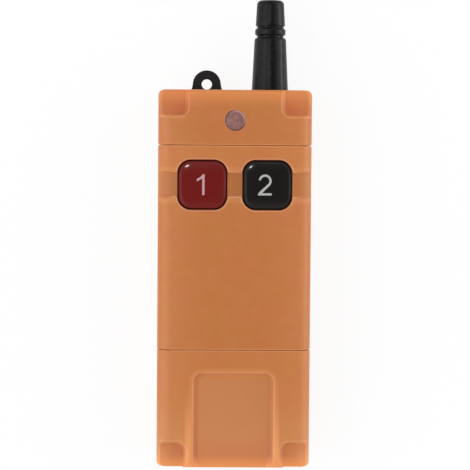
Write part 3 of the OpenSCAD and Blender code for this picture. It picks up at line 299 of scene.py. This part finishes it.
def soften(node, body, finish, width=0.0, least=50, most=130, cell=0.0):
    """Shows a merged copy of a CAD node with smooth rounded faces. Edges between least and most
    degrees are rounded over by width in metres where that is more than nothing, and wide
    faces are cut into cells of the given size, so no long thin triangles shade unevenly."""
    copy = bmesh.new()
    copy.from_mesh(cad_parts[node].data)
    bmesh.ops.remove_doubles(copy, verts=copy.verts, dist=same_place)
    bmesh.ops.dissolve_limit(copy, angle_limit=flat_limit, verts=copy.verts, edges=copy.edges)
    if width:
        sharp = [e for e in copy.edges if least < math.degrees(e.calc_face_angle(0)) < most]
        bmesh.ops.bevel(
            copy, geom=sharp, offset=width, offset_type="OFFSET", segments=3, profile=0.5,
            affect="EDGES", clamp_overlap=True, material=-1,
        )
    for axis in (width_axis, length_axis) if cell else ():
        cells = int(max(abs(vert.co.dot(axis)) for vert in copy.verts) / cell)
        cut_across(copy, axis, [axis * cell * (i + cell_shift) for i in range(-cells, cells + 1)])
    for edge in copy.edges:
        edge.smooth = edge.calc_face_angle(0) < crease_limit
    for face in copy.faces:
        face.smooth = True
    mesh = bpy.data.meshes.new(node + "_soft")
    copy.to_mesh(mesh)
    copy.free()
    mesh.materials.append(finish.material)
    piece = bpy.data.objects.new(node + "_soft", mesh)
    bpy.context.scene.collection.objects.link(piece)
    weigh = piece.modifiers.new("even_shine", "WEIGHTED_NORMAL")
    weigh.keep_sharp = True
    weigh.weight = 80
    cut = piece.modifiers.new("triangles", "TRIANGULATE")
    cut.keep_custom_normals = True
    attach(piece, body)
    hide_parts(node)


case_height = 27 * MM
top_seam_y, low_seam_y = 47.4 * MM, -24.9 * MM
pocket_y = 57.5 * MM
channel_y, channel_half = 33.5 * MM, 5.5 * MM
recess_half, recess_head_y, recess_corner = 14.95 * MM, -32.3 * MM, 4 * MM
ridge_shift = 0.4 * MM
wax = {
    "Specular IOR Level": 0.36, "Subsurface Weight": 0.3,
    "Subsurface Scale": 1.2 * MM, "Subsurface Radius": (1.0, 0.4, 0.15),
}
orange = Finish("moulded_orange", paint(189, 114, 56), 0.45, wax)

# The place of a point, its depth behind the front face, and how far the surface faces forwards.
aside, along = orange.along("X"), orange.along("Y")
across, down = abs(aside), -1.0 * along
depth = case_height - orange.along("Z")
facing = orange.along("Z", orange.add("ShaderNodeTexCoord", None, None, "Normal"))
front = orange.rise(depth, 4.5 * MM, 2.5 * MM)
floor = orange.rise(facing, 0.6, 0.85) * orange.rise(depth, 3.4 * MM, 2.2 * MM)

# Painted light on steep walls: a painted highlight on their crest, painted shade at their foot, painted
# light on the walls of the two seams, and painted highlights on the lips of both ends.
steep = orange.rise(facing, 0.985, 0.9)
inner = orange.rise(across, 22.6 * MM, 21.6 * MM)
painted_crest_highlight = steep * inner * orange.rise(depth, 0.42 * MM, 0.2 * MM)
foot = steep * inner * orange.rise(depth, 0.24 * MM, 0.5 * MM) * orange.rise(facing, 0.2, 0.4)
seam = orange.maths("MINIMUM", abs(along - top_seam_y), abs(along - low_seam_y))
seam_wall = orange.rise(seam, 0.7 * MM, 0.2 * MM) * steep * front
low_lip, high_lip = orange.rise(down, 62 * MM, 66.6 * MM), orange.rise(along, 60 * MM, 66.4 * MM)
end_lips = (low_lip * 0.75 + high_lip * 0.45) * orange.rise(depth, 25 * MM, 2 * MM)

# Corner pockets: painted shade on their floors, stronger in the upper two, painted highlights on the
# lips along them, and painted light beyond the lower two.
corner = orange.rise(across, 16.0 * MM, 17.8 * MM) * orange.rise(abs(along), 57.0 * MM, 58.8 * MM)
corner_shade = orange.rise(across, 27.4 * MM, 19 * MM) * orange.rise(abs(along), 68 * MM, 60 * MM)
painted_pocket_shade = corner * floor * orange.rise(depth, 0.9 * MM, 1.5 * MM) * (0.25 + corner_shade * 0.75)
corner_lip = orange.rise(abs(abs(along) - pocket_y), 0.7 * MM, 0.2 * MM)
corner_lip = corner_lip * orange.rise(across, 17 * MM, 19 * MM) * front
painted_corner_light = orange.rise(across, 21.5 * MM, 25 * MM) * orange.rise(down, 57.5 * MM, 64 * MM) * front

# Finger channel: painted shade on its floor and painted highlights on its two edges. Button windows: the
# strip where the painted crest highlight turns pinker on their rims.
channel = abs(along - channel_y)
painted_channel_shade = orange.rise(channel, 5.4 * MM, 4.2 * MM) * floor * orange.rise(depth, 0.3 * MM, 0.6 * MM)
channel_lip = orange.rise(abs(channel - channel_half), 1.3 * MM, 0.3 * MM) * front
window_rim = orange.rise(channel, 10.6 * MM, 9.8 * MM)

# Thumb recess, by the distance from its outline: a painted highlight on its lip, painted shade on the
# slopes at its sides, and painted light on its head, its floor, its open end and the ridges beside it.
beyond_side = across - (recess_half - recess_corner)
beyond_head = along - (recess_head_y - recess_corner)
recess_out = beyond_side.beyond(beyond_head) - recess_corner
recess_in = -1.0 * recess_out
recess_lip = orange.rise(abs(recess_out), 1.3 * MM, 0.2 * MM) * front
recess_side = orange.rise(recess_in, 0.3 * MM, 1.1 * MM) * orange.rise(recess_in, 3.2 * MM, 1.6 * MM)
recess_side = recess_side * orange.rise(across, 10 * MM, 12 * MM) * front
recess_head = orange.rise(recess_in, 0.1 * MM, 0.6 * MM) * orange.rise(recess_in, 3.0 * MM, 1.4 * MM)
recess_head = recess_head * orange.rise(across, 12 * MM, 10 * MM) * front
recess_floor = orange.rise(recess_in, 1.5 * MM, 3.4 * MM) * front
recess_end = orange.rise(recess_in, 0.5 * MM, 2 * MM) * orange.rise(down, 54 * MM, 61 * MM) * front
left_side = orange.rise(aside, 1 * MM, -1 * MM)
beside = abs(aside + ridge_shift)
ridge = orange.rise(beside, 14.2 * MM, 15.0 * MM) * orange.rise(beside, 17.2 * MM, 16.2 * MM)
ridge = ridge * orange.rise(facing, 0.25, 0.5) * front

# Wide painted light: lighter towards the low end, on the flanks, above the buttons and on the battery
# cap.
painted_end_light = orange.rise(down, 36 * MM, 66 * MM)
high = orange.rise(along, -10 * MM, 10 * MM)
painted_flank_light = floor * orange.rise(across, 8 * MM, 26 * MM)
painted_shoulder_light = orange.rise(along, 37 * MM, 40 * MM) * orange.rise(along, 50 * MM, 46 * MM)
painted_shoulder_light = painted_shoulder_light + orange.rise(down, 24.6 * MM, 26 * MM) * 0.8

# The colour: a clouded orange with random patches and specks, and over it, each by its share, the
# painted highlights and painted shades.
cloud, patch, speck = orange.noise(14 * MM, 3.0), orange.noise(4 * MM, 3.0), orange.noise(0.5 * MM, 3.0)
orange_with_painted_light = orange.mix(orange.rise(cloud, 0.3, 0.7), paint(193, 110, 53), paint(187, 115, 48))
flank_cloud = orange.rise(orange.noise(9 * MM, 2.0), 0.35, 0.65)
for share, tone in (
    (orange.rise(patch, 0.35, 0.75) * 0.35, paint(200, 124, 73)),
    (speck * 0.4, paint(206, 133, 84)),
    # From here on each tone is a painted highlight or a painted shade, not the plastic's own colour.
    (painted_flank_light * 0.34, orange.mix(flank_cloud, paint(213, 142, 82), paint(212, 137, 92))),
    (painted_shoulder_light * front * 0.3, paint(212, 132, 74)),
    (painted_end_light * (0.6 - recess_floor * 0.22), paint(216, 148, 96)),
    (recess_floor * 0.4, paint(203, 141, 95)),
    (recess_head * 0.42, paint(218, 144, 92)),
    (recess_end * 0.45, paint(210, 120, 76)),
    (painted_pocket_shade * (0.5 + high * 0.25), paint(200, 104, 62)),
    (painted_channel_shade * (0.58 - painted_flank_light * 0.25), paint(168, 100, 52)),
    (channel_lip * 0.4, paint(216, 146, 90)),
    (recess_lip * (0.3 + painted_end_light * 0.2), paint(220, 150, 90)),
    (recess_side * (left_side * 0.12 + painted_end_light * 0.32), paint(176, 92, 56)),
    (ridge * painted_end_light * 0.66, paint(248, 168, 104)),
    (foot * 0.25, paint(172, 84, 44)),
    (painted_crest_highlight * 0.38, orange.mix(window_rim, paint(226, 158, 106), paint(236, 184, 156))),
    (corner_lip * 0.4, paint(230, 158, 104)),
    (seam_wall * 0.2, paint(255, 196, 140)),
    (end_lips, paint(244, 156, 88)),
    (painted_corner_light * 0.45, paint(240, 162, 104)),
):
    orange_with_painted_light = orange.mix(share, orange_with_painted_light, tone)
orange.set("Base Color", orange_with_painted_light)
orange.set("Roughness", 0.4 + orange.noise(2 * MM, 3.0) * 0.14)
orange.relief(orange.noise(0.25 * MM, 2.0) + orange.noise(4 * MM) * 2.0, 0.012 * MM)
for shell in ("front_shell", "rear_shell", "top_cap"):
    soften(shell, "housing", orange, cell=8 * MM)
soften("battery_cap", "battery_cap", orange, cell=8 * MM)

# The seals, of grey silicone: a cord along each side between the two shells, a band in the groove
# of each spigot, under its cap, and a frame between each button's flange and the front shell.
silicone = Finish("grey_silicone", paint(85, 88, 92), 0.6)
silicone.set("Roughness", 0.5 + silicone.noise(1 * MM) * 0.2)
dress(silicone, "side_seals", "button_1_gasket", "button_2_gasket")
soften("top_cap_seal", "housing", silicone)
soften("battery_cap_seal", "housing", silicone)

# The status light's window: a clouded mauve lens, pressed into its hole in the top cap.
# Its rim has painted shade on the lower left and a pale painted highlight on the upper right.
# The diode behind it is tinted red plastic.
lens_y, lens_r = 56.2 * MM, 3.65 * MM
mauve = Finish("mauve_lens", paint(141, 101, 98), 0.45)
lens_centre = mauve.add("ShaderNodeMapping", None, {"Vector": mauve.place, "Location": (0, -lens_y, 0)})
lens_flat = mauve.add("ShaderNodeMapping", None, {"Vector": lens_centre, "Scale": (1, 1, 0)})
lens_distance = mauve.add("ShaderNodeVectorMath", {"operation": "LENGTH"}, {0: lens_flat}, "Value")
lens_slant = mauve.along("X", lens_centre) + mauve.along("Y", lens_centre)
lens_ring = mauve.rise(lens_distance, 0.72 * lens_r, 0.97 * lens_r)
lens_lit = mauve.rise(lens_slant, 0.1 * lens_r, 1.3 * lens_r)
mauve_cloud = mauve.rise(mauve.noise(1.4 * MM, 4.0), 0.2, 0.8)
mauve_tone = mauve.mix(mauve_cloud, paint(155, 108, 101), paint(117, 76, 75))
# Painted shade on the lower left of the rim, then a painted highlight on its upper right.
mauve_tone = mauve.mix(lens_ring * (1.0 - lens_lit) * 0.75, mauve_tone, paint(104, 66, 60))
mauve_tone = mauve.mix(lens_ring * lens_lit * 0.8, mauve_tone, paint(206, 158, 156))
mauve.set("Base Color", mauve_tone)
mauve.relief(mauve.noise(0.8 * MM), 0.02 * MM)
soften("status_lens", "housing", mauve)
diode = Finish("tinted_diode", paint(190, 40, 30), 0.1, {"Transmission Weight": 0.4})
diode.set("Roughness", 0.08 + diode.noise(1 * MM) * 0.06)
dress(diode, "status_led")

# The buttons: glossy moulded caps, the left one dark red and the right one black.
# Each is a rounded square pillow that stands just proud of the front face.
button_shine = {"Specular IOR Level": 0.2, "Coat Roughness": 0.04}
red = Finish("red_gloss", paint(110, 25, 24), 0.14, button_shine)
red_tone = red.mix(red.noise(5 * MM), paint(116, 26, 25), paint(104, 27, 22))
black = Finish("black_gloss", paint(28, 26, 24), 0.14, button_shine)
black_tone = black.mix(black.noise(5 * MM), paint(26, 25, 22), paint(31, 28, 26))
# Each button's steep rim is painted darker: painted shade where the window's walls keep light off it.
for gloss, tone, rim_shade in ((red, red_tone, paint(56, 8, 6)), (black, black_tone, paint(18, 10, 7))):
    crown = gloss.along("Z", gloss.add("ShaderNodeTexCoord", None, None, "Normal"))
    gloss.set("Base Color", gloss.mix(gloss.rise(crown, 0.5, 0.86), rim_shade, tone))
    gloss.set("Coat Weight", gloss.rise(crown, 0.972, 0.986) * 0.55)
    gloss.set("Roughness", 0.6 - gloss.rise(crown, 0.955, 0.985) * 0.44)
    gloss.relief(gloss.noise(1.5 * MM), 0.003 * MM)
soften("button_1_cap", "button_1", red)
soften("button_2_cap", "button_2", black)


# The numerals 1 and 2: pale ink printed on the buttons, a thin film that follows the crown.
# It is a little pink on the red button and pale grey on the black one.
def arc(x, y, radius, start, end, steps=14):
    """Points in millimetres on an arc, with its angles in degrees."""
    angles = [math.radians(start + (end - start) * i / steps) for i in range(steps + 1)]
    return [(x + radius * math.cos(a), y + radius * math.sin(a)) for a in angles]


ink_sink, ink_film = 0.02 * MM, 0.035 * MM
ink_cell, ink_cuts = 0.6 * MM, range(-8, 9)
ink_stroke = 0.78
stem_left, stem_right = -0.06, 0.75
one_top, one_foot, flag_left = 3.73, -3.6, -1.95
one_outline = [
    (stem_right, one_top), (0.2, one_top), (-0.35, 3.05), (-1.05, 2.5), (flag_left, 2.1),
    (flag_left, 1.2), (-1.1, 1.65), (stem_left, 2.3), (stem_left, one_foot), (stem_right, one_foot),
]
bowl_x, bowl_y, bowl_r, bowl_start, bowl_end = -0.82, 1.5, 2.3, 172, -48
two_left, two_right, two_foot = -3.3, 1.5, -3.6
two_outline = [
    *arc(bowl_x, bowl_y, bowl_r, bowl_start, bowl_end),
    (-1.9, two_foot + ink_stroke), (two_right, two_foot + ink_stroke),
    (two_right, two_foot), (two_left, two_foot), (-3.25, -3.1), (-3.0, -2.55),
    *arc(bowl_x, bowl_y, bowl_r - ink_stroke, bowl_end, bowl_start),
]


def print_numeral(name, outline, button, body, ink):
    """Prints a filled outline on a button's crown, as a film that follows its surface."""
    curve = bpy.data.curves.new(name, "CURVE")
    curve.dimensions = "2D"
    curve.fill_mode = "BOTH"
    spline = curve.splines.new("POLY")
    spline.points.add(len(outline) - 1)
    low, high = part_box(button)
    middle = (low + high) / 2
    for point, (x, y) in zip(spline.points, outline):
        point.co = (middle.x + x * MM, middle.y + y * MM, 0, 1)
    spline.use_cyclic_u = True
    shape = bpy.data.objects.new(name, curve)
    mesh = bpy.data.meshes.new_from_object(shape)
    bpy.data.objects.remove(shape)
    film = bmesh.new()
    film.from_mesh(mesh)
    bmesh.ops.remove_doubles(film, verts=film.verts, dist=same_place)
    for axis in (width_axis, length_axis):
        cut_across(film, axis, [middle + axis * ink_cell * i for i in ink_cuts])
    cap = bmesh.new()
    cap.from_mesh(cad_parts[button].data)
    button_surface = BVHTree.FromBMesh(cap)
    cap.free()
    for vert in film.verts:
        hit = button_surface.ray_cast(Vector((vert.co.x, vert.co.y, 1)), Vector((0, 0, -1)))[0]
        vert.co.z = hit.z - ink_sink
    bmesh.ops.recalc_face_normals(film, faces=film.faces)
    if sum(face.normal.z for face in film.faces) < 0:
        bmesh.ops.reverse_faces(film, faces=film.faces)
    skin = bmesh.ops.extrude_face_region(film, geom=film.faces[:])["geom"]
    skin_verts = [part for part in skin if isinstance(part, bmesh.types.BMVert)]
    bmesh.ops.translate(film, vec=(0, 0, ink_film), verts=skin_verts)
    bmesh.ops.recalc_face_normals(film, faces=film.faces)
    film.to_mesh(mesh)
    film.free()
    mesh.materials.clear()
    mesh.materials.append(ink.material)
    numeral = bpy.data.objects.new(name, mesh)
    bpy.context.scene.collection.objects.link(numeral)
    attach(numeral, body)


pink_ink = Finish("pale_pink_ink", paint(190, 152, 158), 0.4)
pink_ink.set("Roughness", 0.35 + pink_ink.noise(0.4 * MM) * 0.2)
grey_ink = Finish("pale_grey_ink", paint(176, 177, 170), 0.4)
grey_ink.set("Roughness", 0.35 + grey_ink.noise(0.4 * MM) * 0.2)
print_numeral("numeral_1", one_outline, "button_1_cap", "button_1", pink_ink)
print_numeral("numeral_2", two_outline, "button_2_cap", "button_2", grey_ink)

# The antenna: satin black rubber moulded over the aerial, with two grooves below its tip.
# The mould's edges are a little rounded, so the grooves catch thin lines of light.
rubber = Finish("antenna_rubber", paint(10, 10, 10), 0.36, {"Specular IOR Level": 0.21})
rubber_cloud = rubber.noise(1.1 * MM, 3.0)
rubber_tone = rubber.mix(rubber.rise(rubber_cloud, 0.3, 0.7), paint(1, 1, 1), paint(19, 19, 20))
rubber.set("Base Color", rubber_tone)
rubber.set("Roughness", 0.28 + rubber_cloud * 0.14)
rubber.relief(rubber.noise(0.5 * MM, 3.0) + rubber.noise(1.5 * MM, 2.0) * 2.0, 0.012 * MM)
soften("antenna_sleeve", "housing", rubber, 0.15 * MM, 38, 100)

# The lanyard eye and the inner black pieces: fine-grained moulded nylon. The eye's bar is trapped
# between the top cap and the board, and the battery's cradle is screwed to the back shell.
nylon = Finish("black_nylon", paint(22, 22, 22), 0.5, {"Specular IOR Level": 0.25})
nylon_cloud = nylon.rise(nylon.noise(0.7 * MM, 3.0), 0.3, 0.7)
nylon.set("Base Color", nylon.mix(nylon_cloud, paint(10, 10, 11), paint(29, 29, 30)))
nylon.set("Roughness", 0.45 + nylon.noise(0.6 * MM, 3.0) * 0.2)
nylon.relief(nylon.noise(0.2 * MM, 3.0), 0.02 * MM)
soften("lanyard_eye", "housing", nylon, 0.3 * MM)
dress(nylon, "battery_cradle", "snap_plate", "switch_1_body", "switch_2_body", "control_chip")

# The metal pieces: plated steel screws, switch covers and cans, turned brass inserts and the
# antenna's ferrule, and the aerial, a bare copper wire that is wound on its rod.
steel = Finish("plated_steel", paint(200, 202, 205), 0.3, {"Metallic": 1.0})
steel.set("Roughness", 0.22 + steel.noise(0.3 * MM, 3.0, (1, 8, 1)) * 0.2)
brass = Finish("turned_brass", paint(205, 170, 95), 0.3, {"Metallic": 1.0})
brass.set("Roughness", 0.22 + brass.noise(0.3 * MM, 3.0) * 0.2)
copper = Finish("copper_wire", paint(196, 112, 70), 0.3, {"Metallic": 1.0})
copper.set("Roughness", 0.25 + copper.noise(0.5 * MM) * 0.15)
soften("shell_screws", "housing", steel, 0.12 * MM)
dress(steel, "cap_screws", "board_screws", "cradle_screws", "radio_shield", "crystal")
dress(steel, "power_capacitor", "switch_1_cover", "switch_2_cover", "switch_1_dome", "switch_2_dome")
dress(steel, "switch_1_legs", "switch_2_legs", "battery_terminals", "snap_contacts", "antenna_nut")
dress(brass, "shell_inserts", "antenna_ferrule")
dress(copper, "antenna_coil")

# The electronics: a board with green solder mask, a small blue radio board, grey switch plungers
# and chip resistors, and the white plastic rod inside the antenna.
board = Finish("green_board", paint(28, 92, 52), 0.35)
copper_share = 0.55
board_copper = board.noise(1.2 * MM) > copper_share
board.set("Base Color", board.mix(board_copper, paint(24, 84, 46), paint(36, 112, 62)))
dress(board, "main_board")
module = Finish("blue_module", paint(30, 70, 130), 0.35)
module_copper = module.noise(0.8 * MM) > copper_share
module.set("Base Color", module.mix(module_copper, paint(26, 62, 118), paint(38, 84, 148)))
dress(module, "radio_module")
plunger = Finish("grey_plunger", paint(115, 115, 112), 0.5)
plunger.set("Roughness", 0.45 + plunger.noise(0.6 * MM) * 0.15)
dress(plunger, "switch_1_plunger", "switch_2_plunger", "chip_resistors")
core = Finish("white_core", paint(222, 222, 216), 0.5)
core.set("Roughness", 0.45 + core.noise(0.6 * MM) * 0.15)
dress(core, "antenna_core")

# The block battery in its dark metal jacket, and the leads: red insulated wires from the snap plate
# up to the board, and a black coaxial lead from the antenna to the board.
sleeve = Finish("battery_sleeve", paint(52, 56, 61), 0.3, {"Metallic": 0.3})
sleeve.set("Roughness", 0.25 + sleeve.noise(1.5 * MM) * 0.15)
dress(sleeve, "battery")
red_lead = Finish("red_lead", paint(150, 24, 20), 0.4)
red_lead.set("Roughness", 0.35 + red_lead.noise(0.6 * MM) * 0.15)
black_lead = Finish("black_lead", paint(30, 30, 30), 0.4)
black_lead.set("Roughness", 0.35 + black_lead.noise(0.6 * MM) * 0.15)
dress(red_lead, "battery_leads")
dress(black_lead, "antenna_lead")
